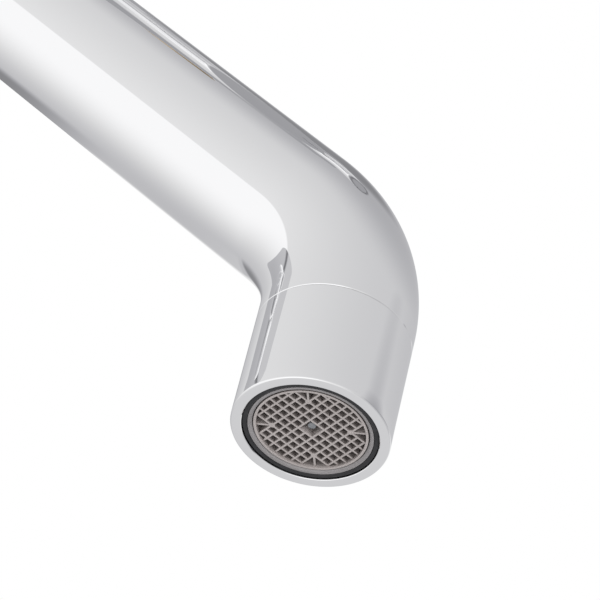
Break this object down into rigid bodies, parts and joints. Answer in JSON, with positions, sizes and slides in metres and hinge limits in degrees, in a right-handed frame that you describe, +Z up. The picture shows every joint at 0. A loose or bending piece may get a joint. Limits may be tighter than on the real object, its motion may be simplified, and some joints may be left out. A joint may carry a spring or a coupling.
{
  "type": "concealed thermostatic bath and shower set",
  "caption": "Wall-mounted chrome tube spout with recessed aerator, cover plate, temperature and flow knobs, and concealed brass thermostatic valve body.",
  "frame": {"origin": "on the finished wall's plane, on the axis of the spout's straight tube", "axes": "+X to the right when facing the wall, +Y into the wall, +Z up"},
  "size_m": [0.132, 0.2851, 0.27],
  "materials": {
    "chrome": "polished chrome plate",
    "brass": "machined brass",
    "cast_brass": "cast and machined brass",
    "steel": "brushed stainless steel",
    "spring_steel": "drawn spring steel wire",
    "rubber": "black rubber",
    "foam": "closed-cell foam",
    "taupe_plastic": "moulded taupe plastic",
    "pin_plastic": "translucent blue-grey plastic",
    "black_plastic": "moulded black plastic",
    "white_plastic": "moulded white plastic",
    "red_plastic": "moulded red plastic",
    "orange_plastic": "moulded orange plastic",
    "ceramic": "ground white ceramic",
    "wax_copper": "drawn copper alloy"
  },
  "bodies": {
    "fixed_parts": {"cover_plate": "chrome", "plate_seal": "foam", "temperature_sleeve": "chrome", "flow_sleeve": "chrome", "spout_collar": "chrome", "spout_tube": "chrome", "outlet_sleeve": "chrome", "aerator_housing": "taupe_plastic", "aerator_grid": "taupe_plastic", "aerator_pin": "pin_plastic", "aerator_seal_ring": "rubber", "aerator_jet_plate": "black_plastic", "flow_regulator": "orange_plastic", "aerator_strainer": "white_plastic", "aerator_washer": "rubber", "spout_connector": "brass", "spout_o_rings": "rubber", "spout_grub_screw": "steel", "temperature_stop_ring": "white_plastic", "valve_body": "cast_brass", "passage_plugs": "brass", "cartridge_housing": "black_plastic", "cartridge_bonnet": "brass", "cartridge_nut": "brass", "cartridge_o_rings": "rubber", "cartridge_screens": "steel", "spindle_o_rings": "rubber", "return_spring": "spring_steel", "cartridge_end_ring": "black_plastic", "diverter_nut": "brass", "diverter_housing": "white_plastic", "fixed_disc": "ceramic", "diverter_seal": "rubber", "inlet_strainers": "steel", "check_valve_housings": "white_plastic", "hot_check_spring": "spring_steel", "cold_check_spring": "spring_steel", "wall_bracket": "steel", "bracket_screws": "steel"},
    "temperature_control": {"temperature_knob": "chrome", "temperature_adapter": "white_plastic", "temperature_dial": "steel", "temperature_grub_screw": "steel", "temperature_screw_cap": "chrome", "thermostat_spindle": "brass", "button_spring": "spring_steel"},
    "safety_button": {"safety_button": "red_plastic"},
    "mixing_slide": {"regulating_nut": "brass", "overload_spring": "spring_steel", "thrust_cap": "steel", "wax_element": "wax_copper", "mixing_piston": "white_plastic"},
    "flow_control": {"flow_knob": "chrome", "flow_adapter": "white_plastic", "flow_grub_screw": "steel", "flow_screw_cap": "chrome", "diverter_spindle": "brass", "moving_disc": "ceramic"},
    "hot_check": {"hot_check_poppet": "white_plastic"},
    "cold_check": {"cold_check_poppet": "white_plastic"}
  },
  "joints": [
    {"name": "temperature_turn", "type": "hinge", "parent": "fixed_parts", "child": "temperature_control", "pos_m": [0, 0, 0.18], "axis": [0, 1, 0], "range_deg": [-90, 180]},
    {"name": "button_press", "type": "slide", "parent": "temperature_control", "child": "safety_button", "axis": [0, 0, -1], "range_m": [0, 0.002], "stiffness_N_per_m": 1500, "springref_m": -0.002, "deforming": ["button_spring"]},
    {"name": "mixer_slide", "type": "slide", "parent": "fixed_parts", "child": "mixing_slide", "axis": [0, 1, 0], "range_m": [-0.00095, 0.0017], "deforming": ["return_spring"]},
    {"name": "flow_turn", "type": "hinge", "parent": "fixed_parts", "child": "flow_control", "pos_m": [0, 0, 0.09], "axis": [0, 1, 0], "range_deg": [-90, 90]},
    {"name": "hot_check_lift", "type": "slide", "parent": "fixed_parts", "child": "hot_check", "axis": [1, 0, 0], "range_m": [0, 0.003], "stiffness_N_per_m": 60, "springref_m": -0.003, "deforming": ["hot_check_spring"]},
    {"name": "cold_check_lift", "type": "slide", "parent": "fixed_parts", "child": "cold_check", "axis": [-1, 0, 0], "range_m": [0, 0.003], "stiffness_N_per_m": 60, "springref_m": -0.003, "deforming": ["cold_check_spring"]}
  ],
  "couplings": [
    {"joint": "mixer_slide", "follows": "temperature_turn", "m_per_rad": 0.00047746}
  ]
}
